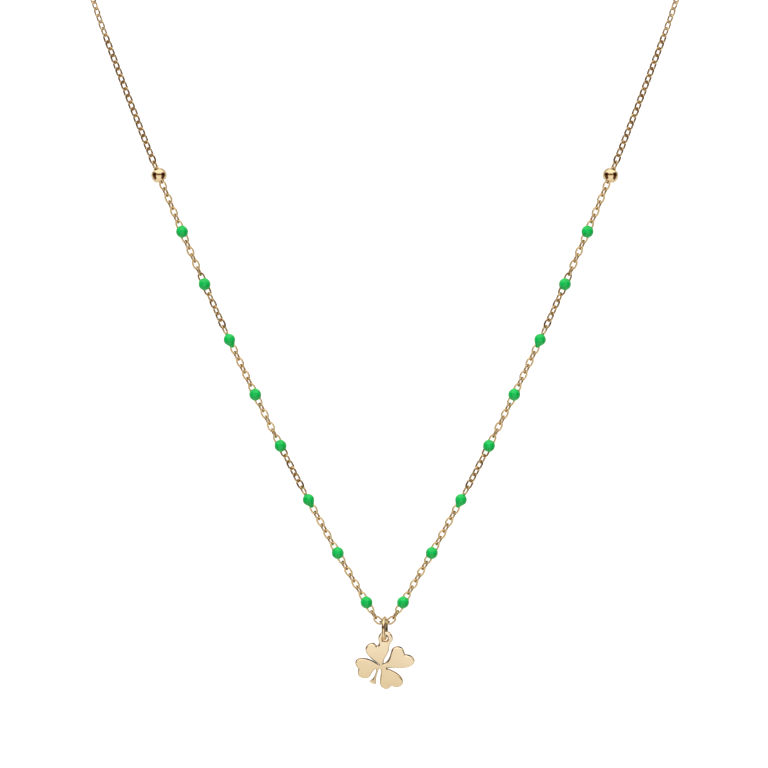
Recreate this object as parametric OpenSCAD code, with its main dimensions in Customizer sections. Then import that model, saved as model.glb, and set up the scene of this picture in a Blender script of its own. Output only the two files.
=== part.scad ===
// Clover necklace: a fine cable chain in yellow gold, hanging in a V, with enamel drops and
// gold balls on it, and a flat four-leaf clover on a jump ring at the middle link.
// The origin is the middle of the clasp, where the necklace lies on the nape. +Z is up, the V
// hangs in front on the -Y side, and the left half has negative x.

/* [Chain] */
// Diameter of the link wire
wire_d = 0.28; // [0.24:0.01:0.28]
// Width of a link over its wire
link_w = 1.20; // [1.16:0.01:1.24]
// Distance from one link's middle to the next along the chain
link_pitch = 1.185; // [1.16:0.005:1.21]
// Play between two links that hold each other
link_play = 0.10; // [0.10:0.01:0.12]
// Links in each front half, counted up from the middle link
front_links = 91; // [84:1:92]

/* [Hanging shape] */
// Sag length of the curve that the front chain hangs in
sag_len = 96.6; // [90:0.1:104]
// Length along that curve from its bottom to the middle link
sag_start = 156.7; // [150:0.1:164]
// Tilt from upright of the first link beside the middle one
first_tilt = 50; // [46:1:52]
// Height of the clasp above the middle link
clasp_h = 127.4; // [124:0.2:131]
// Distance from the clasp forward to the plane of the V
front_depth = 76; // [72:1:80]
// How far the chain runs straight on above the V before it turns back
neck_rise = 34; // [30:1:38]
// How far the chain runs straight out from the clasp before it turns forward
neck_reach = 42; // [38:1:46]

/* [Drops and balls] */
// Diameter of a round enamel drop
drop_d = 2.0; // [1.9:0.02:2.1]
// Diameter of the two tapered drops of each side
taper_d = 1.94; // [1.88:0.02:2.0]
// Radius of the tapered drop's small end
taper_tip_r = 0.40; // [0.38:0.01:0.42]
// Distance from the tapered drop's middle to the middle of its small end
taper_len = 0.99; // [0.96:0.01:1.02]
// Room between the enamel and a link that it holds
enamel_fit = 0.05; // [0.04:0.01:0.06]
// Diameter of a gold ball
ball_d = 2.6; // [2.5:0.05:2.7]
// Bore of a gold ball, which the chain runs through
ball_bore = 1.42; // [1.42:0.02:1.50]

/* [Jump ring] */
// Outer diameter of the jump ring
ring_d = 4.0; // [3.9:0.05:4.05]
// Diameter of its wire
ring_wire = 0.62; // [0.58:0.01:0.62]
// Turn of the ring about the upright, away from square to the chain. Its front lies to the left.
ring_turn = -8; // [-9:1:-6]
// Play between the ring and what it holds
ring_play = 0.08; // [0.08:0.01:0.10]

/* [Clover] */
// Thickness of the plate
plate_t = 0.50; // [0.45:0.05:0.55]
// Outer radius of the eye
eye_r = 1.25; // [1.20:0.01:1.30]
// Radius of the hole in the eye
hole_r = 0.48; // [0.47:0.01:0.50]
// Distance of the hole's middle to the right of the ring's wire
hole_x = 0.05; // [0.04:0.01:0.06]
// Distance of the hole's middle below the ring's wire
hole_drop = 0.01; // [0.01:0.01:0.02]
// Distance of the eye's middle to the right of the hole's middle
eye_x = 0.08; // [0.06:0.01:0.10]

/* [Clasp] */
// Outer diameter of the clasp's round body
clasp_d = 5.5; // [5:0.1:6]
// Thickness of that body
clasp_t = 0.90; // [0.8:0.05:1]
// Outer diameter of the small eyes at its sides
clasp_eye_d = 2.0; // [1.9:0.05:2.1]
// Wire of the small eyes
clasp_eye_wire = 0.40; // [0.36:0.02:0.44]

/* [Hidden] */
$fn = 48;
gold = "#e2bd7e";
green = "#16b44c";

// Link numbers of the drops of one side, from the clover up. A whole number is a round drop on
// one link, and a half is a tapered drop over two links, with its small end down.
DROP_LINKS = [4, 12, 20.5, 29, 37, 45.5, 54, 62];
// The ball sits over two links of its bore.
ball_link = 70.5;

// Turn of the links about the chain, which winds slowly as it hangs: [link number, degrees]. Near
// the clover odd links lie about flat to the front and even ones about edge on.
ODD_TURN = [[1, 0], [3, 12], [21, 14], [23, 26], [25, 44], [27, 48], [31, 108], [35, 118], [47, 120], [49, 136],
    [51, 142], [53, 163], [57, 186], [61, 194], [71, 194], [73, 204], [75, 216], [91, 218]];
EVEN_TURN = [[0, 90], [2, 108], [4, 112], [8, 118], [22, 122], [24, 138], [26, 145], [28, 163], [30, 182], [34, 194],
    [46, 194], [48, 204], [50, 228], [52, 234], [56, 288], [60, 298], [72, 300], [74, 318], [76, 322], [91, 322]];

// Half the length of a link along its wire's middle line, and the reach into the next link
half_len = (link_pitch + wire_d + link_play) / 2;
reach_in = half_len - wire_d - link_play;
bend_r = (link_w - wire_d) / 2;
straight = 2 * (half_len - bend_r);

// Direction in the plane of the V, as [x, z], at a tilt from upright
function heading(tilt) = [sin(tilt), cos(tilt)];
function hang_tilt(i) = atan2(sag_len, sag_start + i * link_pitch);
TILTS = [for (i = [0:front_links]) i == 0 ? 90 : i == 1 ? first_tilt : hang_tilt(i)];
// From one link's middle to the next. The shorter part lies along the odd link, which is the one
// that lies flat near the clover, so that the bend of the V leaves the links their play.
function to_next(i) =
    let (own = i % 2 == 0 ? half_len : reach_in, next = i % 2 == 0 ? reach_in : half_len)
    own * heading(TILTS[i]) + next * heading(TILTS[min(i + 1, front_links)]);
// Middles of the links of one side, as [x, z] from the middle link
MIDDLES = [for (i = 0, p = [0, 0]; i <= front_links; p = p + to_next(i), i = i + 1) p];
function link_turn(i) = lookup(i, i % 2 == 1 ? ODD_TURN : EVEN_TURN);
function along(i) = let (k = floor(i)) MIDDLES[k] + (i - k) * (MIDDLES[min(k + 1, front_links)] - MIDDLES[k]);
function in_drop(i) = len([for (d = DROP_LINKS) if (abs(i - d) < 0.75) 1]) > 0;

// Moves a part that is made upright at the origin to a place on one side's chain.
module on_chain(i, side)
    translate([0, -front_depth, -clasp_h])
        mirror([side < 0 ? 1 : 0, 0, 0])
            translate([along(i)[0], 0, along(i)[1]])
                rotate([0, TILTS[floor(i)], 0])
                    children();

module bend(r, d)
    rotate([90, 0, 0])
        rotate_extrude(angle = 180)
            translate([r, 0])
                circle(d = d);

// An oval link of round wire, standing on end and flat to the front
module link() {
    for (end = [0, 180])
        rotate([0, end, 0])
            translate([0, 0, straight / 2])
                bend(bend_r, wire_d);
    for (s = [-1, 1])
        translate([s * bend_r, 0, -straight / 2])
            cylinder(h = straight, d = wire_d);
}

module chain_half(side) {
    for (i = [1:front_links])
        if (!in_drop(i))
            on_chain(i, side)
                rotate([0, 0, link_turn(i)])
                    link();
}

module chain_left()
    color(gold)
        chain_half(-1);

// The middle link belongs to the right half.
module chain_right()
    color(gold) {
        chain_half(1);
        on_chain(0, 1)
            rotate([0, 0, link_turn(0)])
                link();
    }

module oval(r) {
    for (s = [-1, 1])
        translate([0, s * straight / 2])
            circle(r = r);
    square([2 * r, straight], center = true);
}

// The room that a link takes in the enamel round it
module link_pocket() {
    thick = wire_d + 2 * enamel_fit;
    rotate([90, 0, 0])
        linear_extrude(height = thick, center = true)
            difference() {
                oval(bend_r + thick / 2);
                oval(bend_r - thick / 2);
            }
}

module round_body(r)
    rotate([90, 0, 0])
        sphere(r = r);

// A ball drawn out to a small end below. The cone between them starts a little inside the ball,
// and the small end stands a little out of the cone, so that their faces cross cleanly.
module taper_body() {
    inset = 0.98;
    round_body(taper_d / 2);
    translate([0, 0, -taper_len]) {
        cylinder(h = taper_len, r1 = taper_tip_r * inset, r2 = taper_d / 2 * inset);
        round_body(taper_tip_r);
    }
}

// Enamel drop k of one side, with room for the link that it holds at each end
module drop(k, side) {
    at = DROP_LINKS[k - 1];
    tapered = at > floor(at);
    hold = tapered ? 1.5 : 1;
    color(green)
        difference() {
            on_chain(at, side)
                rotate([0, 0, link_turn(at + hold)]) {
                    if (tapered)
                        taper_body();
                    else
                        round_body(drop_d / 2);
                }
            for (i = [at - hold, at + hold])
                on_chain(i, side)
                    rotate([0, 0, link_turn(i)])
                        link_pocket();
        }
}

module ball(side)
    color(gold)
        on_chain(ball_link, side)
            difference() {
                sphere(d = ball_d);
                cylinder(h = 2 * ball_d, d = ball_bore, center = true);
            }

module torus(outer_d, wire)
    rotate_extrude()
        translate([(outer_d - wire) / 2, 0])
            circle(d = wire);

// The ring goes round the middle link, whose two long wires rest on it inside.
ring_mid_r = (ring_d - ring_wire) / 2;
ring_rest_r = ring_d / 2 - ring_wire - ring_play - wire_d / 2;
ring_z = -clasp_h - sqrt(pow(ring_rest_r, 2) - pow(bend_r, 2));

module jump_ring()
    color(gold)
        translate([0, -front_depth, ring_z])
            rotate([0, 0, ring_turn])
                rotate([0, 90, 0])
                    torus(ring_d, ring_wire);

// Points of a cubic curve after its first point, from its four handles
function curve(p, steps = 9) = [for (j = [1:steps]) let (t = j / steps, u = 1 - t)
    u * u * u * p[0] + 3 * u * u * t * p[1] + 3 * u * t * t * p[2] + t * t * t * p[3]];
function reversed(p) = [for (j = [len(p) - 1:-1:0]) p[j]];
function turned(p, angle) = [p[0] * cos(angle) - p[1] * sin(angle), p[0] * sin(angle) + p[1] * cos(angle)];

// Half leaves of the clover, in millimetres from the hub where the leaves meet. A leaf lies along
// its direction in degrees from +X. Columns: direction, distance of the notch, side (1 is
// anticlockwise), foot x and z where the half leaf parts from its neighbour, lead and rise of the
// throat, where it is widest, half width, pull of the flank, reach of the lobe, lobe's top
TOP_OUT     = [103.0, 3.384,  1, -0.36,  0.20, 0.30, 0.45, 3.05, 2.047, 0.35, 4.044, 0.76];
LEFT_UP     = [187.5, 3.883, -1, -0.46,  0.10, 0.25, 0.50, 3.40, 1.684, 0.43, 4.270, 0.95];
LEFT_DOWN   = [187.5, 3.883,  1, -0.905, -0.592, 0.40, 0.03, 2.665, 1.785, 0.44, 4.078, 0.83];
LOW_LEFT    = [-64.3, 3.706, -1, -0.20, -0.60, 0.35, 0.10, 2.876, 1.582, 0.36, 3.960, 0.60];
LOW_RIGHT   = [-64.3, 3.706,  1,  0.863, -0.381, 0.30, 0.45, 3.51, 2.208, 0.37, 4.467, 1.28];
RIGHT_DOWN  = [25.1, 4.390, -1,  0.863, -0.381, 0.30, 0.35, 4.23, 2.174, 0.35, 5.410, 1.396];
RIGHT_UP    = [25.1, 4.390,  1,  0.355,  0.338, 0.60, 0.05, 3.215, 1.878, 0.37, 4.470, 0.81];
round_pull = 0.55;

// Outline of a half leaf from its foot, out round the flank and the lobe, to the notch
function half_leaf(row) =
    let (foot = turned([row[3], row[4]], -row[0]),
         start = [foot[0], foot[1] * row[2]],
         span = row[7] - start[0],
         wide = [row[7], row[8]],
         top = [row[10], row[11]],
         flank = curve([start, start + [row[5] * span, row[6] * (row[8] - start[1])],
                        wide - [row[9] * span, 0], wide]),
         shoulder = curve([wide, wide + [round_pull * (row[10] - row[7]), 0],
                           top + [0, round_pull * (row[8] - row[11])], top]),
         lobe = curve([top, [row[10], 0.5 * row[11]],
                       [row[1] + 0.45 * (row[10] - row[1]), 0.14 * row[11]], [row[1], 0]]))
    [for (q = concat([start], flank, shoulder, lobe)) turned([q[0], q[1] * row[2]], row[0])];

// Middle of the eye, from the hub, and the angles where its rim runs into the top leaf
EYE = [0.677, 4.484];
eye_from = -22;
eye_to = 205;
function on_eye(angle) = EYE + eye_r * [cos(angle), sin(angle)];
eye_rim = [for (a = [eye_from:5:eye_to]) on_eye(a)];

// Right side of the top leaf, from the foot of the right leaf up to the eye
throat = curve([[0.355, 0.338], [0.35, 1.30], [1.33, 1.90], [1.32, 3.00]]);
neck = curve([[1.32, 3.00], [1.33, 3.45], [1.55, 3.70], on_eye(eye_from)]);
// Left side of the eye down to the notch of the top leaf
cheek = curve([on_eye(eye_to), [-0.42, 3.60], [-0.50, 3.45], turned([3.384, 0], 103)]);
// The stem, from the left leaf's foot round its flared end to the lower leaf's foot
stem = concat(
    curve([[-0.905, -0.592], [-0.97, -1.50], [-1.33, -2.20], [-2.03, -2.58]]),
    curve([[-2.03, -2.58], [-2.02, -2.80], [-1.45, -3.06], [-1.02, -3.13]]),
    curve([[-1.02, -3.13], [-0.86, -3.14], [-0.89, -2.96], [-0.89, -2.75]]),
    curve([[-0.89, -2.75], [-0.89, -2.00], [-0.66, -1.15], [-0.42, -0.66]]),
    curve([[-0.42, -0.66], [-0.36, -0.52], [-0.24, -0.50], [-0.20, -0.60]]));

CLOVER_OUTLINE = concat(
    throat, neck, eye_rim, cheek,
    reversed(half_leaf(TOP_OUT)),
    half_leaf(LEFT_UP),
    reversed(half_leaf(LEFT_DOWN)),
    stem,
    half_leaf(LOW_LEFT),
    reversed(half_leaf(LOW_RIGHT)),
    half_leaf(RIGHT_DOWN),
    reversed(half_leaf(RIGHT_UP)));

// The clover hangs by its eye on the wire at the foot of the jump ring.
wire_z = ring_z - ring_mid_r;
module clover()
    color(gold)
        translate([hole_x, -front_depth, wire_z - hole_drop])
            rotate([90, 0, 0])
                difference() {
                    linear_extrude(height = plate_t, center = true)
                        translate([eye_x, 0] - EYE)
                            polygon(CLOVER_OUTLINE);
                    cylinder(h = 2 * plate_t, r = hole_r, center = true);
                }

// The clasp: a round body flat against the nape, with a small eye at each side for the chain
clasp_eye_x = clasp_d / 2 + clasp_eye_d / 2 - clasp_eye_wire / 2;
module clasp()
    color(gold)
        rotate([90, 0, 0]) {
            torus(clasp_d, clasp_t);
            for (s = [-1, 1])
                translate([s * clasp_eye_x, 0, 0])
                    torus(clasp_eye_d, clasp_eye_wire);
        }

// The chain behind the neck, plain as a cord: a tube of the links' width along one cubic curve
// from the top of the V round to the eye of the clasp
back_rings = 39;
back_faces = 8;
back_gap = 0.15;
top_dir = heading(TILTS[front_links]);
top_end = MIDDLES[front_links] + (half_len + wire_d / 2 + back_gap) * top_dir;
TOP_POINT = [top_end[0], -front_depth, top_end[1] - clasp_h];
CLASP_POINT = [clasp_eye_x + clasp_eye_d / 2 + back_gap, 0, 0];
BACK_PATH = concat([TOP_POINT], curve(
    [TOP_POINT, TOP_POINT + neck_rise * [top_dir[0], 0, top_dir[1]], CLASP_POINT + [neck_reach, 0, 0], CLASP_POINT],
    back_rings - 1));

function unit(v) = v / norm(v);
function path_dir(p, i) = unit(p[min(i + 1, len(p) - 1)] - p[max(i - 1, 0)]);
// Rings of points round the path, each square to it
function tube_points(p, r) = [for (i = [0:len(p) - 1]) for (k = [0:back_faces - 1])
    let (d = path_dir(p, i), out = unit(cross(d, [0.3, 1, 0.2])), up = cross(out, d), a = (k + 0.5) * 360 / back_faces)
    p[i] + r * (cos(a) * out + sin(a) * up)];
function tube_faces(rings) = concat(
    [[for (k = [0:back_faces - 1]) k]],
    [[for (k = [back_faces - 1:-1:0]) (rings - 1) * back_faces + k]],
    [for (i = [0:rings - 2]) for (k = [0:back_faces - 1])
        let (a = i * back_faces + k, b = i * back_faces + (k + 1) % back_faces)
        [a, a + back_faces, b + back_faces, b]]);

module back_chain(side)
    color(gold)
        mirror([side < 0 ? 1 : 0, 0, 0])
            polyhedron(tube_points(BACK_PATH, link_w / 2), tube_faces(back_rings), convexity = 4);

clover();
jump_ring();
chain_left();
chain_right();
for (k = [1:8]) {
    drop(k, -1);
    drop(k, 1);
}
ball(-1);  // ball_left
ball(1);  // ball_right
back_chain(-1);  // back_chain_left
back_chain(1);  // back_chain_right
clasp();
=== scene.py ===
"""Clover necklace: its looks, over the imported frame.

Every piece is worked out with numpy and ends in the frame's own metres. The chain, the drops and
the clover follow the same few sizes as the part's source, repeated below in millimetres. Only the
wire of the front links, the clover's hole and the slit beside its top leaf differ from it a little.
"""
import math

import bpy
import numpy as np
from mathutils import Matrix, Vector
from mathutils.geometry import tessellate_polygon


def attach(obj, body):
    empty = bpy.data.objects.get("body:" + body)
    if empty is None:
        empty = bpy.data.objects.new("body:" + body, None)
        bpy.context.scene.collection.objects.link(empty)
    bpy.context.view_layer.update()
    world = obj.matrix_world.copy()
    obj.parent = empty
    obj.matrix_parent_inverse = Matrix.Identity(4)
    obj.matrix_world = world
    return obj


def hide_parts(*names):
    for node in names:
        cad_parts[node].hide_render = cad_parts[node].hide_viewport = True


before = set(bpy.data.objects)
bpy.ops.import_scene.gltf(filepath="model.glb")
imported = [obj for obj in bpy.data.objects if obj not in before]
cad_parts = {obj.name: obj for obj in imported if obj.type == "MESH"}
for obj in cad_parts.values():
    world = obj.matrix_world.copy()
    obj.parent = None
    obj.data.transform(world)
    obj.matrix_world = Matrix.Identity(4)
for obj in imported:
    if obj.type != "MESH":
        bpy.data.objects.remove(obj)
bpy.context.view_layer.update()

MM = 0.001

# Chain
WIRE_D = 0.28
LINK_W = 1.20
LINK_PITCH = 1.185
LINK_PLAY = 0.10
FRONT_LINKS = 91

# Hanging shape of the V, and the way round the neck
SAG_LEN = 96.6
SAG_START = 156.7
FIRST_TILT = 50.0
CLASP_H = 127.4
FRONT_DEPTH = 76.0
NECK_RISE = 34.0
NECK_REACH = 42.0

# Drops and balls
DROP_LINKS = [4, 12, 20.5, 29, 37, 45.5, 54, 62]
DROP_D = 2.0
TAPER_D = 1.94
TAPER_TIP_R = 0.40
TAPER_LEN = 0.99
BALL_LINK = 70.5
BALL_D = 2.6
BALL_BORE = 1.42

# Jump ring and clover. The hole is smaller than the solid's, 0.86 mm for 0.96 mm, and its middle is
# higher by HOLE_LIFT, so that its top stays where it is and the ring fills it better.
RING_D = 4.0
RING_WIRE = 0.62
RING_TURN = -8.0
RING_PLAY = 0.08
PLATE_T = 0.50
EYE_R = 1.25
HOLE_R = 0.43
HOLE_LIFT = 0.05
HOLE_X = 0.05
HOLE_DROP = 0.01
EYE_X = 0.08

# Clasp
CLASP_D = 5.5
CLASP_EYE_D = 2.0
CLASP_EYE_WIRE = 0.40

# Link number and turn of the links about the chain, which winds slowly as it hangs. Near the clover
# odd links lie about flat to the front and even ones about edge on.
ODD_TURN = [[1, 0], [3, 12], [21, 14], [23, 26], [25, 44], [27, 48], [31, 108], [35, 118],
            [47, 120], [49, 136], [51, 142], [53, 163], [57, 186], [61, 194], [71, 194], [73, 204],
            [75, 216], [91, 218]]
EVEN_TURN = [[0, 90], [2, 108], [4, 112], [8, 118], [22, 122], [24, 138], [26, 145], [28, 163],
             [30, 182], [34, 194], [46, 194], [48, 204], [50, 228], [52, 234], [56, 288], [60, 298],
             [72, 300], [74, 318], [76, 322], [91, 322]]

# Worked out from the sizes above
HALF_LEN = (LINK_PITCH + WIRE_D + LINK_PLAY) / 2
REACH_IN = HALF_LEN - WIRE_D - LINK_PLAY
BEND_R = (LINK_W - WIRE_D) / 2
STRAIGHT = 2 * (HALF_LEN - BEND_R)
RING_MID_R = (RING_D - RING_WIRE) / 2
RING_REST_R = RING_D / 2 - RING_WIRE - RING_PLAY - WIRE_D / 2
RING_Z = -CLASP_H - math.sqrt(RING_REST_R ** 2 - BEND_R ** 2)
WIRE_Z = RING_Z - RING_MID_R


# Materials

# Dark brown painted into the gold where it should mirror the dark room: a painted dark reflection
PAINTED_DARK_COLOUR = "#3E2810"


def linear(hex_colour):
    """A colour written as sRGB hex, as the linear red, green, blue and alpha that the shader takes."""
    value = np.array([int(hex_colour[k:k + 2], 16) for k in (1, 3, 5)]) / 255
    curve_part = ((value + 0.055) / 1.055) ** 2.4
    return (*np.where(value <= 0.04045, value / 12.92, curve_part), 1.0)


def add_node(tree, kind, settings=(), values=(), links=(), stops=()):
    """A new node of a kind, with attributes set, input values set, inputs linked to outputs, and the
    stops of its colour ramp as pairs of place and colour. Inputs go by their name or number."""
    node = tree.nodes.new(kind)
    for name, value in dict(settings).items():
        setattr(node, name, value)
    for name, value in dict(values).items():
        node.inputs[name].default_value = value
    for name, output in dict(links).items():
        tree.links.new(output, node.inputs[name])
    for place, colour in stops[2:]:
        node.color_ramp.elements.new(place)
    for element, (place, colour) in zip(node.color_ramp.elements if stops else (), stops):
        element.position, element.color = place, colour
    return node


def new_material(name):
    """An empty node material, with its tree, its shader and its Object coordinates."""
    material = bpy.data.materials.new(name)
    material.use_nodes = True
    tree = material.node_tree
    shader = tree.nodes["Principled BSDF"]
    where = tree.nodes.new("ShaderNodeTexCoord").outputs["Object"]
    return material, tree, shader, where


def per_mm(size_mm):
    """Noise scale whose features are about that many millimetres across."""
    return 1 / (size_mm * MM)


def polished_gold(name, light, deep, rough, smear_mm, tool_mark_mm, tool_mark_depth,
                  lean=(0.0, 0.0, 0.0), lean_start=0.0):
    """14-carat yellow gold, drawn or rolled and then polished with a mop. It is bright and pale, its
    colour drifts a little at random where the mop left a thin smear, and fine rub marks blur what it
    mirrors. A painted shade can also deepen the colour along a direction: lean is its growth per
    metre, from lean_start on. Where a piece's painted dark reflection attribute is above 0, dark brown
    is mixed in."""
    material, tree, shader, where = new_material(name)
    film_and_painted_dark = add_node(tree, "ShaderNodeTexNoise", values={"Scale": per_mm(smear_mm), "Detail": 3.0},
                    links={"Vector": where})
    # Painted shade: the colour deepens along the lean direction, from lean_start on
    along_lean = add_node(tree, "ShaderNodeVectorMath", {"operation": "DOT_PRODUCT"}, {1: lean},
                          {0: where})
    painted_shade_growth = add_node(tree, "ShaderNodeMath", {"operation": "SUBTRACT"}, {1: lean_start},
                     {0: along_lean.outputs["Value"]})
    share = add_node(tree, "ShaderNodeMath", {"operation": "ADD", "use_clamp": True},
                     links={0: film_and_painted_dark.outputs["Fac"], 1: painted_shade_growth.outputs["Value"]})
    tint = add_node(tree, "ShaderNodeMix", {"data_type": "RGBA"},
                    {"A": linear(light), "B": linear(deep)}, {"Factor": share.outputs["Value"]})
    # Painted dark reflection: dark brown mixed in by each point's attribute
    painted_dark_reflection = add_node(tree, "ShaderNodeAttribute", {"attribute_name": "painted_dark_reflection"})
    with_painted_dark = add_node(tree, "ShaderNodeMix", {"data_type": "RGBA"}, {"B": linear(PAINTED_DARK_COLOUR)},
                      {"Factor": painted_dark_reflection.outputs["Fac"], "A": tint.outputs["Result"]})
    tree.links.new(with_painted_dark.outputs["Result"], shader.inputs["Base Color"])
    blur = add_node(tree, "ShaderNodeMapRange", links={"Value": film_and_painted_dark.outputs["Fac"]},
                    values={"From Min": 0.3, "From Max": 0.7,
                            "To Min": rough * 0.7, "To Max": rough * 1.4})
    tree.links.new(blur.outputs["Result"], shader.inputs["Roughness"])
    rub = add_node(tree, "ShaderNodeTexNoise", values={"Scale": per_mm(tool_mark_mm), "Detail": 2.0},
                   links={"Vector": where})
    bump = add_node(tree, "ShaderNodeBump", values={"Strength": 1.0, "Distance": tool_mark_depth * MM},
                    links={"Height": rub.outputs["Fac"]})
    tree.links.new(bump.outputs["Normal"], shader.inputs["Normal"])
    shader.inputs["Metallic"].default_value = 1.0
    return material


def cold_enamel(name, body, cloud, shade):
    """Opaque green resin enamel, dropped onto the chain and cured. It is glossy under a clear skin,
    a little cloudy inside, and its surface has the faint waves of a liquid that set."""
    material, tree, shader, where = new_material(name)
    pigment = add_node(tree, "ShaderNodeTexNoise", values={"Scale": per_mm(0.7), "Detail": 2.0},
                       links={"Vector": where})
    ramp = add_node(tree, "ShaderNodeValToRGB", links={"Fac": pigment.outputs["Fac"]},
                    stops=[(0.35, linear(shade)), (0.5, linear(body)), (0.65, linear(cloud))])
    tree.links.new(ramp.outputs["Color"], shader.inputs["Base Color"])
    wave = add_node(tree, "ShaderNodeTexNoise", values={"Scale": per_mm(1.2), "Detail": 1.0},
                    links={"Vector": where})
    bump = add_node(tree, "ShaderNodeBump", values={"Strength": 1.0, "Distance": 0.012 * MM},
                    links={"Height": wave.outputs["Fac"]})
    tree.links.new(bump.outputs["Normal"], shader.inputs["Normal"])
    shader.inputs["Roughness"].default_value = 0.30
    shader.inputs["IOR"].default_value = 1.5
    shader.inputs["Specular IOR Level"].default_value = 0.1
    shader.inputs["Coat Weight"].default_value = 0.45
    shader.inputs["Coat Roughness"].default_value = 0.08
    return material


def matt_paper(name, low, high):
    """Seamless background paper: matt, off-white, with a faint uneven tooth."""
    material, tree, shader, where = new_material(name)
    fibre = add_node(tree, "ShaderNodeTexNoise", values={"Scale": per_mm(90), "Detail": 2.0},
                     links={"Vector": where})
    tint = add_node(tree, "ShaderNodeMix", {"data_type": "RGBA"},
                    {"A": linear(low), "B": linear(high)}, {"Factor": fibre.outputs["Fac"]})
    tree.links.new(tint.outputs["Result"], shader.inputs["Base Color"])
    shader.inputs["Roughness"].default_value = 0.9
    return material


GOLD_WIRE = polished_gold("gold_14ct_drawn_wire", "#E6CC9C", "#D9BA84", rough=0.18,
                          smear_mm=2.4, tool_mark_mm=0.2, tool_mark_depth=0.0010)
GOLD_RING = polished_gold("gold_14ct_bent_ring_wire", "#F2DCB2", "#EACF9C", rough=0.12,
                          smear_mm=2.4, tool_mark_mm=0.5, tool_mark_depth=0.0008)
GOLD_BALL = polished_gold("gold_14ct_polished_ball", "#F2DCB2", "#EBD2A2", rough=0.09,
                          smear_mm=3.0, tool_mark_mm=0.5, tool_mark_depth=0.0010)
# The plate's colour is deepened towards its lower left by lean: a painted shade
GOLD_PLATE = polished_gold("gold_14ct_polished_plate", "#FAE7C5", "#E6CEA4", rough=0.08,
                           smear_mm=9.0, tool_mark_mm=2.6, tool_mark_depth=0.006,
                           lean=(-45.0, 0.0, -130.0), lean_start=17.45)
GOLD_CLASP = polished_gold("gold_14ct_cast_clasp", "#F0D8A6", "#E4C68C", rough=0.18,
                           smear_mm=1.5, tool_mark_mm=0.3, tool_mark_depth=0.0025)
ENAMEL = cold_enamel("green_cold_enamel", "#0ACD59", "#10D362", "#07C150")


# Meshes

def grid_quads(rows, columns, close_rows, close_columns):
    """Four-cornered faces between the neighbours of a grid of points that is stored row by row."""
    row = np.arange(rows if close_rows else rows - 1)[:, None]
    column = np.arange(columns if close_columns else columns - 1)[None, :]
    next_row, next_column = (row + 1) % rows, (column + 1) % columns
    corners = [row * columns + column, row * columns + next_column,
               next_row * columns + next_column, next_row * columns + column]
    return np.stack(corners, axis=-1).reshape(-1, 4)


def volume_of(points, triangles):
    """Signed volume: a sixth of the sum of a . (b x c) over the triangles."""
    a, b, c = (points[triangles[:, k]] for k in range(3))
    return np.einsum("ij,ij->", a, np.cross(b, c)) / 6


def add_piece(name, points, quads, triangles, material, body, node, crease=None,
              painted_dark_reflection=None):
    """Puts a closed surface, in millimetres, into the scene with its faces outward. It rides on its
    body and stands for its node. Edges that turn more than crease, in degrees, stay crisp, and the
    last argument gives for each point how much painted dark reflection its colour gets, from 0 to 1."""
    quads = np.asarray(quads, dtype=int).reshape(-1, 4)
    triangles = np.asarray(triangles, dtype=int).reshape(-1, 3)
    split = np.concatenate([quads[:, [0, 1, 2]], quads[:, [0, 2, 3]], triangles])
    if volume_of(points, split) < 0:
        quads, triangles = quads[:, ::-1], triangles[:, ::-1]
    mesh = bpy.data.meshes.new(name)
    mesh.from_pydata((points * MM).tolist(), [], quads.tolist() + triangles.tolist())
    mesh.materials.append(material)
    mesh.shade_smooth()
    if crease is not None:
        mesh.set_sharp_from_angle(angle=math.radians(crease))
    if painted_dark_reflection is not None:
        film_and_painted_dark = mesh.attributes.new("painted_dark_reflection", "FLOAT", "POINT")
        film_and_painted_dark.data.foreach_set("value", painted_dark_reflection)
    piece = bpy.data.objects.new(name, mesh)
    bpy.context.scene.collection.objects.link(piece)
    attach(piece, body)
    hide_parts(node)


def turn_about_y(degrees):
    """Turns by angles about +Y, as an array of 3 x 3 matrices. It takes +Z towards +X."""
    a = np.radians(np.atleast_1d(degrees).astype(float))
    zero, one = np.zeros_like(a), np.ones_like(a)
    rows = [[np.cos(a), zero, np.sin(a)], [zero, one, zero], [-np.sin(a), zero, np.cos(a)]]
    return np.moveaxis(np.array(rows), -1, 0)


def turn_about_z(degrees):
    """Turns by angles about +Z, as an array of 3 x 3 matrices."""
    a = np.radians(np.atleast_1d(degrees).astype(float))
    zero, one = np.zeros_like(a), np.ones_like(a)
    rows = [[np.cos(a), -np.sin(a), zero], [np.sin(a), np.cos(a), zero], [zero, zero, one]]
    return np.moveaxis(np.array(rows), -1, 0)


def lathe(profile, around):
    """A profile turned about Z. At angle a, a profile point (radius, height) is at
    (radius cos a, radius sin a, height). The points are stored angle by angle."""
    a = np.linspace(0, 2 * np.pi, around, endpoint=False)[:, None]
    radius, height = profile[None, :, 0], profile[None, :, 1]
    points = np.stack([radius * np.cos(a), radius * np.sin(a), height + 0 * a], axis=-1)
    return points.reshape(-1, 3)


def even_steps(points, count):
    """The line through some points, cut into steps of equal length."""
    run = np.concatenate([[0], np.cumsum(np.linalg.norm(np.diff(points, axis=0), axis=1))])
    at = np.linspace(0, run[-1], count)
    return np.stack([np.interp(at, run, points[:, k]) for k in range(points.shape[1])], axis=-1)


# Where the chain hangs

def heading(tilt):
    """Direction in the plane of the V at a tilt from upright: (sin tilt, cos tilt)."""
    return np.stack([np.sin(np.radians(tilt)), np.cos(np.radians(tilt))], axis=-1)


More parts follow.
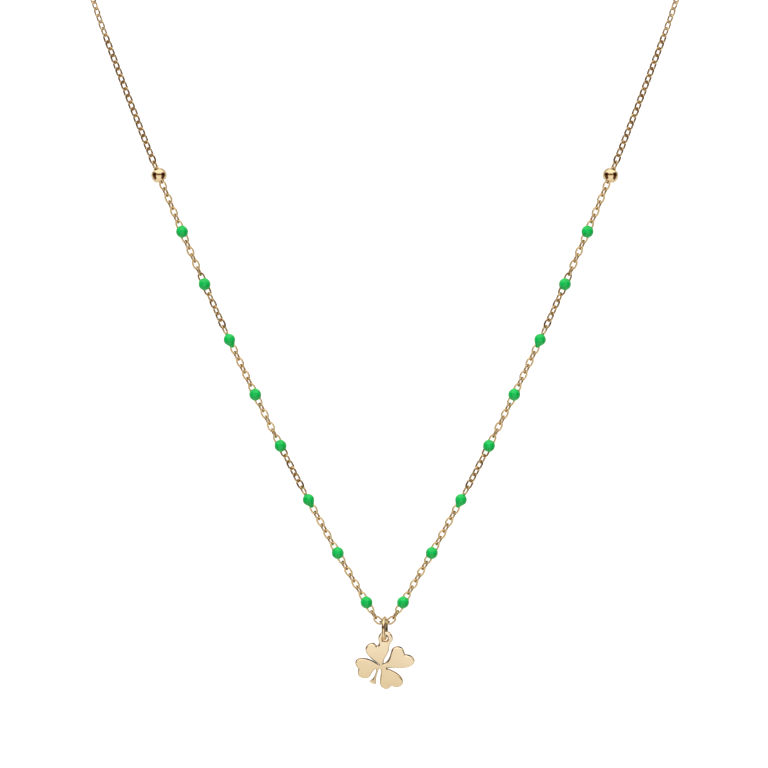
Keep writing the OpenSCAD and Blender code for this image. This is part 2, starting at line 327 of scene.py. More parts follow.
def chain_layout():
    """Tilts and middles of the links of one side, from the middle link up. Above the first two the
    tilt is atan(sag / length), as in a hanging chain. From one link's middle to the next are a
    reach and a half length, and the reach lies along the odd link."""
    number = np.arange(FRONT_LINKS + 1)
    tilts = np.degrees(np.arctan2(SAG_LEN, SAG_START + number * LINK_PITCH))
    tilts[:2] = 90, FIRST_TILT
    odd = (number[:-1] % 2)[:, None]
    own = np.where(odd, REACH_IN, HALF_LEN)
    following = np.where(odd, HALF_LEN, REACH_IN)
    steps = own * heading(tilts[:-1]) + following * heading(tilts[1:])
    return tilts, np.concatenate([[[0, 0]], np.cumsum(steps, axis=0)])


TILTS, MIDDLES = chain_layout()


def along(number):
    """Place on the chain at a link number, which may lie between two links."""
    return np.array([np.interp(number, np.arange(FRONT_LINKS + 1), MIDDLES[:, k]) for k in (0, 1)])


def link_turn(number):
    """Turn of a link about the chain, between the given turns of the odd or of the even links."""
    number = np.asarray(number)
    odd, even = np.array(ODD_TURN), np.array(EVEN_TURN)
    return np.where(number % 2 == 1, np.interp(number, *odd.T), np.interp(number, *even.T))


def to_side(points, side):
    """Moves the right half's points, measured from the middle link, to a side of the V."""
    return points * [side, 1, 1] + [0, -FRONT_DEPTH, -CLASP_H]


def on_chain(points, number, turn=0.0):
    """Places points that are made upright at the origin at a link number of the right half."""
    tilt = turn_about_y(TILTS[int(number)])[0]
    place = along(number)
    return points @ turn_about_z(turn)[0].T @ tilt.T + [place[0], 0, place[1]]


# Links

# Half section of the link's wire, as shares of its radius: across the link, then out of its plane.
# The faces that lie in the link's plane are rolled a little flat, and their edges turn by about 48
# degrees, more than the steps of the bends do. The front wire is drawn a tenth thicker than the
# solids', which still leaves the links loose in each other.
FLAT_CREASE = 46.5
FRONT_STOUT = 1.10
FRONT_SECTION = FRONT_STOUT * np.array([[1.0, 0.42], [0.55, 0.92], [-0.55, 0.92], [-1.0, 0.42]])
BACK_SECTION = np.array([[1.0, 0.0], [0.55, 0.86], [-0.55, 0.86]])
BEND_POINTS = 5
INSIDE_DROP = 0.75
PATH_POINTS = 800


def link_surface(half_section):
    """One link upright and flat to the front: the wire's section carried along two half circles and
    the straights between them."""
    a = np.radians(np.linspace(0, 180, BEND_POINTS))
    bend = np.stack([BEND_R * np.cos(a), BEND_R * np.sin(a) + STRAIGHT / 2], axis=-1)
    outward = np.stack([np.cos(a), np.sin(a)], axis=-1)
    line, out = np.concatenate([bend, -bend]), np.concatenate([outward, -outward])
    section = WIRE_D / 2 * np.concatenate([half_section, -half_section])
    x = line[:, :1] + section[None, :, 0] * out[:, :1]
    z = line[:, 1:] + section[None, :, 0] * out[:, 1:]
    y = np.broadcast_to(section[None, :, 1], x.shape)
    points = np.stack([x, y, z], axis=-1).reshape(-1, 3)
    return points, grid_quads(len(line), len(section), True, True)


def repeat_links(link, quads, turns, places):
    """Copies of a link: every point is turned by each turn and moved to each place."""
    points = np.einsum("nij,vj->nvi", turns, link) + places[:, None, :]
    first = np.arange(len(places))[:, None, None] * len(link)
    return points.reshape(-1, 3), (quads[None] + first).reshape(-1, 4)


def front_chain(side, word):
    """The links of one half of the V, but for those inside the enamel drops. The middle link belongs
    to the right half."""
    numbers = np.arange(1 if side < 0 else 0, FRONT_LINKS + 1)
    to_drop = np.abs(numbers[:, None] - np.array(DROP_LINKS)[None, :]).min(axis=1)
    numbers = numbers[to_drop >= INSIDE_DROP]
    turns = turn_about_y(TILTS[numbers]) @ turn_about_z(link_turn(numbers))
    places = np.stack([MIDDLES[numbers, 0], 0 * numbers, MIDDLES[numbers, 1]], axis=-1)
    link, quads = link_surface(FRONT_SECTION)
    points, quads = repeat_links(link, quads, turns, places)
    add_piece(f"chain_{word}_links", to_side(points, side), quads, [], GOLD_WIRE, "necklace",
              f"chain_{word}", crease=FLAT_CREASE)


# Chain behind the neck

def back_path(count):
    """The way round the neck on the right: a cubic curve that leaves the V straight on and reaches
    the clasp straight in."""
    direction = heading(TILTS[-1])
    top = MIDDLES[-1] + LINK_PITCH * direction
    start = np.array([top[0], -FRONT_DEPTH, top[1] - CLASP_H])
    eye_middle = CLASP_D / 2 + CLASP_EYE_D / 2 - CLASP_EYE_WIRE / 2
    eye_rest = eye_middle + CLASP_EYE_D / 2 - CLASP_EYE_WIRE - WIRE_D / 2 - LINK_PLAY
    end = np.array([eye_rest + HALF_LEN, 0, 0])
    leave = start + NECK_RISE * np.array([direction[0], 0, direction[1]])
    arrive = end + [NECK_REACH, 0, 0]
    t = np.linspace(0, 1, count)[:, None]
    return ((1 - t) ** 3 * start + 3 * (1 - t) ** 2 * t * leave
            + 3 * (1 - t) * t ** 2 * arrive + t ** 3 * end)


def back_chain(side, word):
    """The links behind the neck, one pitch apart along the path, each a quarter turn from the last.
    They face +Y at the V and down at the nape, and the whole run winds evenly, so that the last
    link passes through the clasp's eye."""
    fine = back_path(PATH_POINTS)
    length = np.linalg.norm(np.diff(fine, axis=0), axis=1).sum()
    count = 1 + round(length / LINK_PITCH)
    places = even_steps(fine, count)
    ahead = np.gradient(places, axis=0)
    ahead /= np.linalg.norm(ahead, axis=1)[:, None]
    number = np.arange(count)
    lower = np.clip(2 * number / count, 0, 1)
    facing = np.stack([0 * lower, 1 - lower, -lower], axis=-1)
    across = np.cross(facing, ahead)
    across /= np.linalg.norm(across, axis=1)[:, None]
    base = np.stack([across, np.cross(ahead, across), ahead], axis=-1)
    first_turn = float(link_turn(FRONT_LINKS)) + 90
    last_turn = first_turn + 90 * (count - 1)
    winding = 180 * round(last_turn / 180) - last_turn
    turns = base @ turn_about_z(first_turn + 90 * number + winding * number / (count - 1))
    link, quads = link_surface(BACK_SECTION)
    points, quads = repeat_links(link, quads, turns, places)
    add_piece(f"back_chain_{word}_links", points * [side, 1, 1], quads, [], GOLD_WIRE, "necklace",
              f"back_chain_{word}")


# Enamel drops

DROP_ROWS = 40
DROP_AROUND = 56
MENISCUS = 0.06
MENISCUS_REACH = 0.10
MENISCUS_SPAN = [0.3, 0.8]
TAPER_WIRE = WIRE_D / 2


def round_profile():
    """Half circle from the top pole to the bottom one, as (radius, height)."""
    a = np.radians(np.linspace(0, 180, DROP_ROWS))
    return DROP_D / 2 * np.stack([np.sin(a), np.cos(a)], axis=-1)


def taper_profile():
    """A circle above, a smaller one below, and the straight line that touches both."""
    body_r = TAPER_D / 2
    slope = math.degrees(math.asin((body_r - TAPER_TIP_R) / TAPER_LEN))
    above = np.radians(np.linspace(0, 90 + slope, 40))
    below = np.radians(np.linspace(90 + slope, 180, 16))
    big = body_r * np.stack([np.sin(above), np.cos(above)], axis=-1)
    small = TAPER_TIP_R * np.stack([np.sin(below), np.cos(below)], axis=-1) - [0, TAPER_LEN]
    return even_steps(np.concatenate([big, small]), DROP_ROWS)


def drop(k, side, word):
    """An enamel drop: its profile turned about the chain, drawn up a little against the wires that
    leave it. A point rises along its own direction by MENISCUS exp(-gap / MENISCUS_REACH), where
    gap is its distance from the nearer wire of the held link, across the chain. The rise grows from
    none to full over MENISCUS_SPAN, as shares of the way from the drop's middle to its end."""
    number = DROP_LINKS[k - 1]
    tapered = number > int(number)
    hold = 1.5 if tapered else 1        # links from the drop's middle to the one that it holds
    profile = taper_profile() if tapered else round_profile()
    skin = lathe(profile[1:-1], DROP_AROUND)
    poles = np.array([[0, 0, profile[0, 1]], [0, 0, profile[-1, 1]]])
    points = np.concatenate([skin, poles])
    middle_turn = float(link_turn(np.array([number - hold]))[0])
    for end, held in ((-1, number - hold), (1, number + hold)):
        turn = float(link_turn(np.array([held]))[0]) - middle_turn
        across = turn_about_z(turn)[0] @ [TAPER_WIRE if tapered else BEND_R, 0, 0]
        gap = np.minimum(np.linalg.norm(points[:, :2] - across[:2], axis=1),
                         np.linalg.norm(points[:, :2] + across[:2], axis=1)) - WIRE_D / 2
        rise = MENISCUS * np.exp(-np.maximum(gap, 0) / MENISCUS_REACH)
        near = np.interp(end * points[:, 2] / (DROP_D / 2), MENISCUS_SPAN, [0, 1])
        points = points * (1 + (rise * near)[:, None])
    rows = len(profile) - 2
    quads = grid_quads(DROP_AROUND, rows, True, False)
    start = np.arange(DROP_AROUND) * rows
    following = np.roll(start, -1)
    top = np.stack([start, following, np.full(DROP_AROUND, len(skin))], axis=-1)
    bottom = np.stack([following + rows - 1, start + rows - 1,
                       np.full(DROP_AROUND, len(skin) + 1)], axis=-1)
    fans = np.concatenate([top[:, ::-1], bottom[:, ::-1]])
    placed = to_side(on_chain(points, number, middle_turn), side)
    add_piece(f"enamel_{word}_{k}", placed, quads, fans, ENAMEL, "necklace", f"drop_{word}_{k}")


# Gold balls

BORE_EDGE_R = 0.10
BALL_AROUND = 64
BALL_ROWS = 36
BORE_EDGE_ROWS = 8


def ball(side, word):
    """A drilled gold ball: an arc outside, a rounded edge at each end and the straight bore, as one
    closed profile turned about the chain."""
    r = BALL_D / 2
    edge_x = BALL_BORE / 2 + BORE_EDGE_R
    edge_z = math.sqrt((r - BORE_EDGE_R) ** 2 - edge_x ** 2)
    lean = math.degrees(math.atan2(edge_x, edge_z))
    outside = np.radians(np.linspace(lean, 180 - lean, BALL_ROWS))
    corner = np.radians(np.linspace(-90, lean, BORE_EDGE_ROWS))[:-1]
    upper = BORE_EDGE_R * np.stack([np.sin(corner), np.cos(corner)], axis=-1) + [edge_x, edge_z]
    lower = (upper * [1, -1])[::-1]
    arc = r * np.stack([np.sin(outside), np.cos(outside)], axis=-1)
    profile = np.concatenate([upper, arc, lower])
    points = lathe(profile, BALL_AROUND)
    quads = grid_quads(BALL_AROUND, len(profile), True, True)
    placed = to_side(on_chain(points, BALL_LINK), side)
    add_piece(f"gold_ball_{word}", placed, quads, [], GOLD_BALL, "necklace", f"ball_{word}")


# Jump ring

RING_AROUND = 120
RING_SIDES = 24
SEAM_AT = 35
SEAM_W = 0.05
SEAM_DEPTH = 0.06
# Painted dark reflection on the inner side of the ring wire: its gain, where it starts and its most
RING_PAINTED_DARK_GAIN = 1.20
RING_PAINTED_DARK_START = 0.25
RING_PAINTED_DARK_MOST = 0.75


def jump_ring():
    """A ring of round wire, standing across the chain and turned a little: the wire's circle carried
    round the ring's circle. At the back, at SEAM_AT degrees, is its fine closing seam: the wire's
    radius shrinks by its share SEAM_DEPTH exp(-(distance / SEAM_W)^2). The inside of the ring gets a
    painted dark reflection: at angle b round the wire, from its outermost line, its share is the gain
    times -cos b less the start, but from 0 to the most, by the three constants above."""
    a = np.linspace(0, 2 * np.pi, RING_AROUND, endpoint=False)[:, None]
    b = np.linspace(0, 2 * np.pi, RING_SIDES, endpoint=False)[None, :]
    seam = np.abs((a - np.radians(SEAM_AT) + np.pi) % (2 * np.pi) - np.pi) * RING_MID_R
    r = RING_WIRE / 2 * (1 - SEAM_DEPTH * np.exp(-(seam / SEAM_W) ** 2))
    out = RING_MID_R + r * np.cos(b)
    points = np.stack([r * np.sin(b), out * np.cos(a), out * np.sin(a)], axis=-1).reshape(-1, 3)
    points = points @ turn_about_z(RING_TURN)[0].T + [0, -FRONT_DEPTH, RING_Z]
    quads = grid_quads(RING_AROUND, RING_SIDES, True, True)
    # Painted dark reflection, strongest on the inner side of the wire
    inside = np.clip(-RING_PAINTED_DARK_GAIN * np.cos(b) - RING_PAINTED_DARK_START, 0, RING_PAINTED_DARK_MOST) + 0 * a
    add_piece("jump_ring_wire", points, quads, [], GOLD_RING, "jump_ring", "jump_ring",
              painted_dark_reflection=inside.ravel())


# Outline of the clover, in millimetres from the hub where its leaves meet

EYE = np.array([0.677, 4.484])
EYE_FROM, EYE_TO = -22, 205
ROUND_PULL = 0.55
LOBE_FALL = 0.50
NOTCH_PULL, NOTCH_RISE = 0.45, 0.14
CURVE_STEPS = 14
LEAST_STEP = 0.004

# Half leaves. Columns: direction in degrees from +X, distance of the notch, side (1 is
# anticlockwise), foot x and z, lead and rise of the throat, where it is widest, half width, pull
# of the flank, reach of the lobe, lobe's top
TOP_OUT = [103.0, 3.384, 1, -0.38, 0.18, 0.30, 0.47, 3.05, 2.047, 0.35, 4.044, 0.76]
LEFT_UP = [187.5, 3.883, -1, -0.43, 0.13, 0.25, 0.53, 3.40, 1.684, 0.43, 4.270, 0.95]
LEFT_DOWN = [187.5, 3.883, 1, -0.905, -0.592, 0.40, 0.03, 2.665, 1.785, 0.44, 4.078, 0.83]
LOW_LEFT = [-64.3, 3.706, -1, -0.20, -0.60, 0.35, 0.10, 2.876, 1.582, 0.36, 3.960, 0.60]
LOW_RIGHT = [-64.3, 3.706, 1, 0.863, -0.381, 0.30, 0.45, 3.51, 2.208, 0.37, 4.467, 1.28]
RIGHT_DOWN = [25.1, 4.390, -1, 0.863, -0.381, 0.30, 0.35, 4.23, 2.174, 0.35, 5.410, 1.396]
RIGHT_UP = [25.1, 4.390, 1, 0.355, 0.338, 0.60, 0.05, 3.215, 1.878, 0.37, 4.470, 0.81]


def curve(p0, p1, p2, p3):
    """Points of a cubic curve after its first one:
    (1-t)^3 p0 + 3 (1-t)^2 t p1 + 3 (1-t) t^2 p2 + t^3 p3."""
    t = np.linspace(0, 1, CURVE_STEPS + 1)[1:, None]
    p0, p1, p2, p3 = (np.asarray(p, dtype=float) for p in (p0, p1, p2, p3))
    return (1 - t) ** 3 * p0 + 3 * (1 - t) ** 2 * t * p1 + 3 * (1 - t) * t ** 2 * p2 + t ** 3 * p3


def turned(points, degrees):
    """Points turned anticlockwise about the hub."""
    c, s = math.cos(math.radians(degrees)), math.sin(math.radians(degrees))
    return np.asarray(points, dtype=float) @ np.array([[c, s], [-s, c]])


def half_leaf(row):
    """Outline of a half leaf from its foot, out round the flank and the lobe, to the notch."""
    direction, notch, side, foot_x, foot_z, lead, rise, at, width, pull, reach, lobe_top = row
    start = turned([foot_x, foot_z], -direction) * [1, side]
    span = at - start[0]
    flank = curve(start, start + [lead * span, rise * (width - start[1])],
                  [at - pull * span, width], [at, width])
    shoulder = curve([at, width], [at + ROUND_PULL * (reach - at), width],
                     [reach, lobe_top + ROUND_PULL * (width - lobe_top)], [reach, lobe_top])
    lobe = curve([reach, lobe_top], [reach, LOBE_FALL * lobe_top],
                 [notch + NOTCH_PULL * (reach - notch), NOTCH_RISE * lobe_top], [notch, 0])
    return turned(np.concatenate([[start], flank, shoulder, lobe]) * [1, side], direction)


def on_eye(degrees):
    """Point of the eye's rim at an angle from +X."""
    a = np.radians(degrees)
    return EYE + EYE_R * np.stack([np.cos(a), np.sin(a)], axis=-1)


def clover_outline():
    """The whole outline, anticlockwise from the foot of the right leaf up to the eye and round."""
    throat = curve([0.355, 0.338], [0.35, 1.30], [1.33, 1.90], [1.32, 3.00])
    neck = curve([1.32, 3.00], [1.33, 3.45], [1.55, 3.70], on_eye(EYE_FROM))
    rim = on_eye(np.arange(EYE_FROM + 4, EYE_TO, 4))
    cheek = curve(on_eye(EYE_TO), [-0.42, 3.60], [-0.50, 3.45], turned([3.384, 0], 103))
    stem = [
        curve([-0.905, -0.592], [-0.97, -1.50], [-1.33, -2.20], [-2.03, -2.58]),
        curve([-2.03, -2.58], [-2.02, -2.80], [-1.45, -3.06], [-1.02, -3.13]),
        curve([-1.02, -3.13], [-0.86, -3.14], [-0.89, -2.96], [-0.89, -2.75]),
        curve([-0.89, -2.75], [-0.89, -2.00], [-0.66, -1.15], [-0.42, -0.66]),
        curve([-0.42, -0.66], [-0.36, -0.52], [-0.24, -0.50], [-0.20, -0.60])]
    parts = [throat, neck, rim, cheek,
             half_leaf(TOP_OUT)[::-1], half_leaf(LEFT_UP), half_leaf(LEFT_DOWN)[::-1], *stem,
             half_leaf(LOW_LEFT), half_leaf(LOW_RIGHT)[::-1],
             half_leaf(RIGHT_DOWN), half_leaf(RIGHT_UP)[::-1]]
    loop = np.concatenate(parts)
    step = np.linalg.norm(loop - np.roll(loop, 1, axis=0), axis=1)
    return loop[step > LEAST_STEP]


# Clover plate

EDGE_R = 0.05
TOP_EDGE_R = 0.26
BEVEL_W = 0.13
LEAST_BEVEL = 0.015
FIRST_LEAN = 20.0
DRAFT = 64.0
SLOPE_W = 0.135
BACK_R = 0.04
PLATE_CREASE = 12.0
EDGE_SHARE = 0.70
ROOM_SLACK = 0.97
HALVINGS = 12

# How far in the widest edge reaches
ROUND_W = TOP_EDGE_R * (math.sin(math.radians(DRAFT)) - math.sin(math.radians(FIRST_LEAN)))
WIDEST = BEVEL_W + ROUND_W + SLOPE_W

# Painted dark reflection on the slope of the plate's edge, where these slopes mirror the dark room:
# the ways that an edge faces where it is darkest, in degrees from +X, how fast that fades to both
# sides, and how dark it is. It is weaker below the hub, where its share changes between two heights,
# and round the eye. The last line gives the rows of the section where it begins, is full and ends.
PAINTED_DARK_SPOTS = [(67, 17, 1.30), (150, 22, 0.65)]
PAINTED_DARK_HEIGHTS, PAINTED_DARK_SHARES = [-0.30, 0.25], [0.45, 1.0]
PAINTED_DARK_BY_EYE = 0.30
PAINTED_DARK_ROWS = [4, 6, 10, 11]


def loop_normals(loop):
    """Directions to the left of a closed line at its points, half way between its two steps."""
    ahead = np.roll(loop, -1, axis=0) - loop
    ahead /= np.linalg.norm(ahead, axis=1)[:, None]
    left = np.stack([-ahead[:, 1], ahead[:, 0]], axis=-1)
    both = left + np.roll(left, 1, axis=0)
    return both / np.linalg.norm(both, axis=1)[:, None]


def distance_to_loops(points, loops):
    """Least distance of each point from the straight steps of some closed lines."""
    best = np.full(len(points), np.inf)
    for loop in loops:
        a, b = loop, np.roll(loop, -1, axis=0)
        step = b - a
        t = np.einsum("pnk,nk->pn", points[:, None] - a[None], step) / (step ** 2).sum(axis=1)
        near = a[None] + np.clip(t, 0, 1)[..., None] * step[None]
        best = np.minimum(best, np.linalg.norm(points[:, None] - near, axis=-1).min(axis=1))
    return best


def room_inside(loop, normals, loops, wanted):
    """How far each point of a line can move along its normal, up to what is wanted, and still have
    that line as its nearest edge, but for a little slack. It is found by halving."""
    low, high = np.zeros(len(loop)), np.full(len(loop), wanted)
    for _ in range(HALVINGS):
        middle = (low + high) / 2
        to_edge = distance_to_loops(loop + middle[:, None] * normals, loops)
        clear = to_edge > ROOM_SLACK * middle - 1e-9
        low, high = np.where(clear, middle, low), np.where(clear, high, middle)
    return low


def edge_profile(radius):
    """Section of the plate's edge for each radius, as rows of distance in from the outline and rows
    of depth below the front face: down a bevel that leans by FIRST_LEAN degrees, round over a
    circle of that radius until the surface leans by DRAFT degrees, straight down that slope to the
    outline, down the wall, and round a quarter circle of BACK_R to the back face. The bevel is the
    wider, the larger the radius."""
    first, draft = math.radians(FIRST_LEAN), math.radians(DRAFT)
    lean = np.linspace(first, draft, 7)[:, None]
    back = np.radians(np.linspace(0, 90, 5))[:, None]
    share = np.array([0.75, 1.0])[:, None]
    bevel = np.interp(radius, [EDGE_R, TOP_EDGE_R], [LEAST_BEVEL, BEVEL_W])[None]
    round_in = SLOPE_W + radius * (math.sin(draft) - np.sin(lean))
    round_depth = bevel * math.tan(first) + radius * (math.cos(first) - np.cos(lean))
    slope_in = SLOPE_W * (1 - share) + 0 * radius
    slope_depth = round_depth[-1] + share * SLOPE_W * math.tan(draft)
    back_in = BACK_R * (1 - np.cos(back)) + 0 * radius
    back_depth = PLATE_T - BACK_R * (1 - np.sin(back)) + 0 * radius
    return (np.concatenate([round_in[:1] + bevel, round_in, slope_in, back_in]),
            np.concatenate([0 * bevel, round_depth, slope_depth, back_depth]))


def worn_edge(loop, loops):
    """Rows of points round one edge of the plate, from the border of the front face, along the
    section of the edge, to the border of the back face. The mop ran over the charm from above, so
    edges that face up are the roundest. The edge takes at most EDGE_SHARE of the room there is."""
    normals = loop_normals(loop)
    room = room_inside(loop, normals, loops, WIDEST / EDGE_SHARE)
    facing_up = np.clip(-normals[:, 1], 0, 1)
    inward, depth = edge_profile(EDGE_R + (TOP_EDGE_R - EDGE_R) * facing_up)
    worn = inward * np.minimum(1, EDGE_SHARE * room / inward[0])
    inset = np.concatenate([room[None], worn, room[None]])
    depth = np.concatenate([0 * room[None], depth, PLATE_T + 0 * room[None]])
    flat = loop[None] + inset[..., None] * normals[None]
    return np.stack([flat[..., 0], depth - PLATE_T / 2, flat[..., 1]], axis=-1)


def edge_painted_dark(loop):
    """How much painted dark reflection the slope of the plate's edge gets at each point of the
    outline,
    from 0 to 1: a bell curve of the way the edge faces about each of the spots listed above. These
    edges face up, and the dark painted on their slopes stands in for the dark room that they mirror."""
    out = -loop_normals(loop)
    faces = np.degrees(np.arctan2(out[:, 1], out[:, 0]))
    painted_dark_share = sum(most * np.exp(-((faces - spot) / fade) ** 2) for spot, fade, most in PAINTED_DARK_SPOTS)
    by_height = np.interp(loop[:, 1], PAINTED_DARK_HEIGHTS, PAINTED_DARK_SHARES)
    on_rim = np.linalg.norm(loop - EYE, axis=1) < EYE_R + 0.05
    return np.minimum(1, painted_dark_share) * by_height * np.where(on_rim, PAINTED_DARK_BY_EYE, 1)


def clover():
    """The clover: its outline and its hole, each with an edge that slopes back from the front face,
    as a cast plate's does, and that the polishing mop has worn round, and flat faces between them."""
    hole_a = np.radians(np.arange(0, -360, -6))
    hole = EYE + [-EYE_X, HOLE_LIFT] + HOLE_R * np.stack([np.cos(hole_a), np.sin(hole_a)], axis=-1)
    loops = [clover_outline(), hole]
    points, quads, front_ids, back_ids, film_and_painted_dark = [], [], [], [], []
    first = 0
    for loop, painted_dark_share in zip(loops, [edge_painted_dark(loops[0]), np.zeros(len(hole))]):
        edge = worn_edge(loop, loops)
        rows, columns = edge.shape[:2]
        # Painted dark reflection on the slope rows of the outline's edge; none round the hole
        on_slope = np.interp(np.arange(rows), PAINTED_DARK_ROWS, [0, 1, 1, 0])
        film_and_painted_dark.append((on_slope[:, None] * painted_dark_share).ravel())
        points.append(edge.reshape(-1, 3))
        quads.append(grid_quads(rows, columns, False, True)[:, ::-1] + first)
        front_ids.append(first + np.arange(columns))
        back_ids.append(first + (rows - 1) * columns + np.arange(columns))
        first += rows * columns
    points, quads = np.concatenate(points), np.concatenate(quads)
    borders = [(points[ids] * [1, 0, 1])[:, [0, 2, 1]].tolist() for ids in front_ids]
    fill = np.array(tessellate_polygon(borders))
    front_ids, back_ids = np.concatenate(front_ids), np.concatenate(back_ids)
    a, b, c = (points[front_ids[fill[:, k]]][:, [0, 2]] for k in range(3))
    anticlockwise = (b - a)[:, 0] * (c - a)[:, 1] > (b - a)[:, 1] * (c - a)[:, 0]
    fill = np.where(anticlockwise[:, None], fill, fill[:, ::-1])
    faces = np.concatenate([front_ids[fill], back_ids[fill][:, ::-1]])
    placed = points - [EYE[0], 0, EYE[1]] + [HOLE_X + EYE_X, -FRONT_DEPTH, WIRE_Z - HOLE_DROP]
    add_piece("clover_plate", placed, quads, faces, GOLD_PLATE, "clover", "clover",
              crease=PLATE_CREASE, painted_dark_reflection=np.concatenate(film_and_painted_dark))


clover()
jump_ring()
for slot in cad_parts["clasp"].material_slots:
    slot.material = GOLD_CLASP
for side_sign, side_word in ((-1, "left"), (1, "right")):
    front_chain(side_sign, side_word)
    back_chain(side_sign, side_word)
    ball(side_sign, side_word)
    for number_up in range(1, len(DROP_LINKS) + 1):
        drop(number_up, side_sign, side_word)


# Studio: paper, lights and camera

PX_PER_MM = 6.03
PICTURE = 768
V_MIDDLE_X = 384.75
MIDDLE_LINK_Y = 621.8
LENS = 180.0
SENSOR = 36.0
FLOOR_Z = -0.90
FLOOR_HALF = 0.70


def floor():
    """A sheet of paper, far enough below to stay out of the picture."""
    mesh = bpy.data.meshes.new("paper_floor")
    corners = [(x * FLOOR_HALF, y * FLOOR_HALF, FLOOR_Z)
               for x, y in ((-1, -1), (1, -1), (1, 1), (-1, 1))]
    mesh.from_pydata(corners, [], [(0, 1, 2, 3)])
    mesh.materials.append(matt_paper("white_background_paper", "#F4F4F2", "#FBFBFA"))
    sheet = bpy.data.objects.new("paper_floor", mesh)
    bpy.context.scene.collection.objects.link(sheet)


def grey(share):
    """A grey of that share of the tent's full brightness."""
    return (share, share, share, 1)


# The tent by angle in degrees. OVER_TOP runs from the back at -180 through below at -90, the front
# at 0 and above at 90 to the back at 180, and ROUND_SIDE round either side from the front at 0 to
# the back at 180. SIDE_LEVEL says at which heights the side counts, and DUSKY_GAP, also by height,
# is multiplied in.
DARK_ROOM = (0.085, 0.035, 0.012, 1)
SHADE = (0.42, 0.31, 0.20, 1)
DUSK = (0.28, 0.18, 0.09, 1)
OVER_TOP = [(-180, grey(0.62)), (-140, grey(0.62)), (-60, grey(0.60)), (-30, grey(0.70)),
            (-10, grey(0.80)), (13, grey(0.82)), (28, grey(0.92)), (45, grey(1.06)),
            (75, grey(1.06)), (112, grey(0.70)), (119, SHADE), (139, SHADE), (148, grey(0.55)),
            (180, grey(0.62))]
ROUND_SIDE = [(0, grey(0.80)), (36, grey(0.82)), (44, DARK_ROOM), (93, DARK_ROOM),
              (102, grey(0.62)), (140, grey(0.60)), (180, grey(0.60))]
SIDE_LEVEL = [(-62, grey(0)), (-50, grey(1)), (32, grey(1)), (44, grey(0))]
DUSKY_GAP = [(-2.2, grey(1)), (-0.8, DUSK), (22, DUSK), (30, grey(1))]
TENT_STRENGTH = 1.25

# The front ends between these two places along +Y, and the spot of the lens fades between these two
# cosines of the angle to its middle
FRONT_END = (0.25, 0.55)
LENS_TOWARD = (0, -0.978, 0.208)
LENS_SPOT = (0.980, 0.994)
LENS_DARK = 0.4


def light_by_angle(tree, angle, lowest, highest, stops):
    """The colour at an angle in radians, from stops in degrees between a lowest and a highest."""
    turn = add_node(tree, "ShaderNodeMapRange", links={"Value": angle},
                    values={"From Min": math.radians(lowest), "From Max": math.radians(highest)})
    places = [((degrees - lowest) / (highest - lowest), colour) for degrees, colour in stops]
    ramp = add_node(tree, "ShaderNodeValToRGB", links={"Fac": turn.outputs["Result"]}, stops=places)
    return ramp.outputs["Color"]


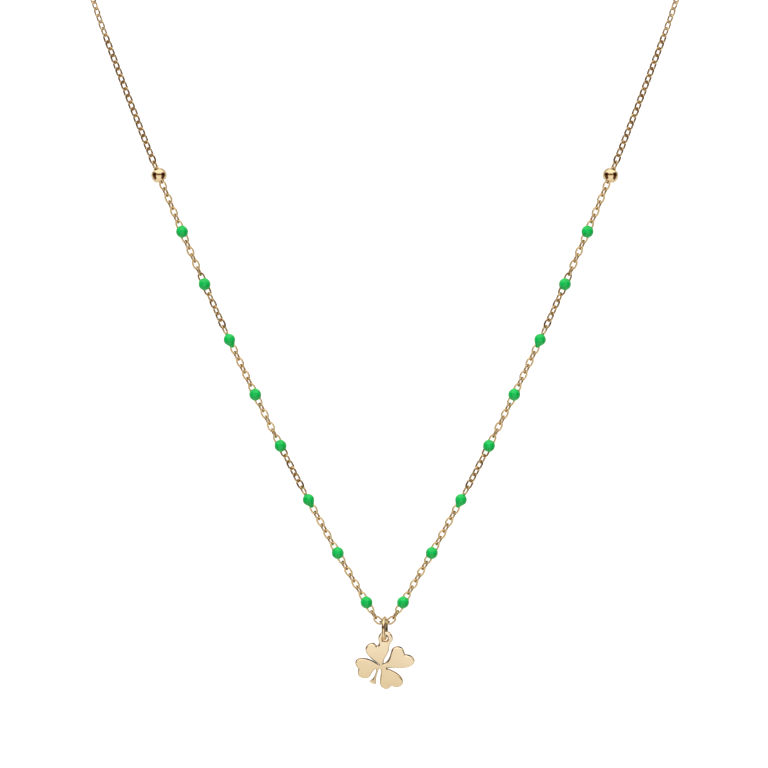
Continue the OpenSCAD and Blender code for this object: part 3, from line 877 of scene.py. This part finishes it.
def light_tent():
    """White cloth in front, above and at the sides, as in a tent, with the dark room showing through
    its gaps, which polished metal needs to look like metal. Two upright gaps stand at the left and
    right of the front, a low dusky gap runs level across it with the dark spot of the lens, and one
    wide gap lies above and behind. In front, at the heights of SIDE_LEVEL, brightness follows the
    angle round the side, and elsewhere the angle over the top. The picture's background stays
    white."""
    world = bpy.data.worlds.new("light_tent")
    bpy.context.scene.world = world
    world.use_nodes = True
    tree = world.node_tree
    background = tree.nodes["Background"]
    where = tree.nodes.new("ShaderNodeTexCoord").outputs["Generated"]
    parts = add_node(tree, "ShaderNodeSeparateXYZ", links={"Vector": where}).outputs
    forward = add_node(tree, "ShaderNodeMath", {"operation": "MULTIPLY"}, {1: -1.0}, {0: parts["Y"]})
    over = add_node(tree, "ShaderNodeMath", {"operation": "ARCTAN2"},
                    links={0: parts["Z"], 1: forward.outputs["Value"]})
    round_side = add_node(tree, "ShaderNodeMath", {"operation": "ARCTAN2"},
                          links={0: parts["X"], 1: forward.outputs["Value"]})
    round_either = add_node(tree, "ShaderNodeMath", {"operation": "ABSOLUTE"},
                            links={0: round_side.outputs["Value"]})
    height = add_node(tree, "ShaderNodeMath", {"operation": "ARCSINE"}, links={0: parts["Z"]})
    over_light = light_by_angle(tree, over.outputs["Value"], -180, 180, OVER_TOP)
    round_light = light_by_angle(tree, round_either.outputs["Value"], 0, 180, ROUND_SIDE)
    level = light_by_angle(tree, height.outputs["Value"], -90, 90, SIDE_LEVEL)
    dusky = light_by_angle(tree, height.outputs["Value"], -90, 90, DUSKY_GAP)
    before = add_node(tree, "ShaderNodeMapRange", links={"Value": parts["Y"]},
                      values={"From Min": FRONT_END[0], "From Max": FRONT_END[1],
                              "To Min": 1.0, "To Max": 0.0})
    side_share = add_node(tree, "ShaderNodeMath", {"operation": "MULTIPLY"},
                          links={0: level, 1: before.outputs["Result"]})
    tent = add_node(tree, "ShaderNodeMix", {"data_type": "RGBA"},
                    links={"Factor": side_share.outputs["Value"], "A": over_light, "B": round_light})
    banded = add_node(tree, "ShaderNodeMix", {"data_type": "RGBA", "blend_type": "MULTIPLY"},
                      links={"Factor": before.outputs["Result"], "A": tent.outputs["Result"],
                             "B": dusky})
    lens_angle = add_node(tree, "ShaderNodeVectorMath", {"operation": "DOT_PRODUCT"},
                          {1: LENS_TOWARD}, {0: where})
    lens = add_node(tree, "ShaderNodeMapRange", links={"Value": lens_angle.outputs["Value"]},
                    values={"From Min": LENS_SPOT[0], "From Max": LENS_SPOT[1],
                            "To Min": 1.0, "To Max": LENS_DARK})
    spotted = add_node(tree, "ShaderNodeMix", {"data_type": "RGBA", "blend_type": "MULTIPLY"},
                       {"Factor": 1.0},
                       {"A": banded.outputs["Result"], "B": lens.outputs["Result"]})
    path = tree.nodes.new("ShaderNodeLightPath")
    seen = add_node(tree, "ShaderNodeMix", {"data_type": "RGBA"}, {"B": grey(1)},
                    {"Factor": path.outputs["Is Camera Ray"], "A": spotted.outputs["Result"]})
    tree.links.new(seen.outputs["Result"], background.inputs["Color"])
    background.inputs["Strength"].default_value = TENT_STRENGTH


def softbox(name, place, size, watts):
    """A square soft light that faces the middle of the V."""
    light = bpy.data.lights.new(name, "AREA")
    light.size = size
    light.energy = watts
    lamp = bpy.data.objects.new(name, light)
    lamp.location = place
    aim = Vector((0, -FRONT_DEPTH * MM, -CLASP_H / 2 * MM)) - lamp.location
    lamp.rotation_euler = aim.to_track_quat("-Z", "Y").to_euler()
    lamp.visible_glossy = False
    bpy.context.scene.collection.objects.link(lamp)


def camera():
    """Level with the middle of the picture and square to the V, as far away as its lens needs for
    the photo's scale in the plane of the V."""
    data = bpy.data.cameras.new("camera")
    data.lens = LENS
    data.sensor_width = SENSOR
    eye = bpy.data.objects.new("camera", data)
    distance = PICTURE / PX_PER_MM * LENS / SENSOR
    x = (PICTURE / 2 - V_MIDDLE_X) / PX_PER_MM
    z = -CLASP_H + (MIDDLE_LINK_Y - PICTURE / 2) / PX_PER_MM
    eye.location = (x * MM, (-FRONT_DEPTH - distance) * MM, z * MM)
    eye.rotation_euler = (math.pi / 2, 0, 0)
    bpy.context.scene.collection.objects.link(eye)
    bpy.context.scene.camera = eye


floor()
light_tent()
softbox("softbox_upper_left", place=(-0.20, -0.60, 0.75), size=0.8, watts=5.0)
camera()
bpy.context.scene.view_settings.view_transform = "Standard"
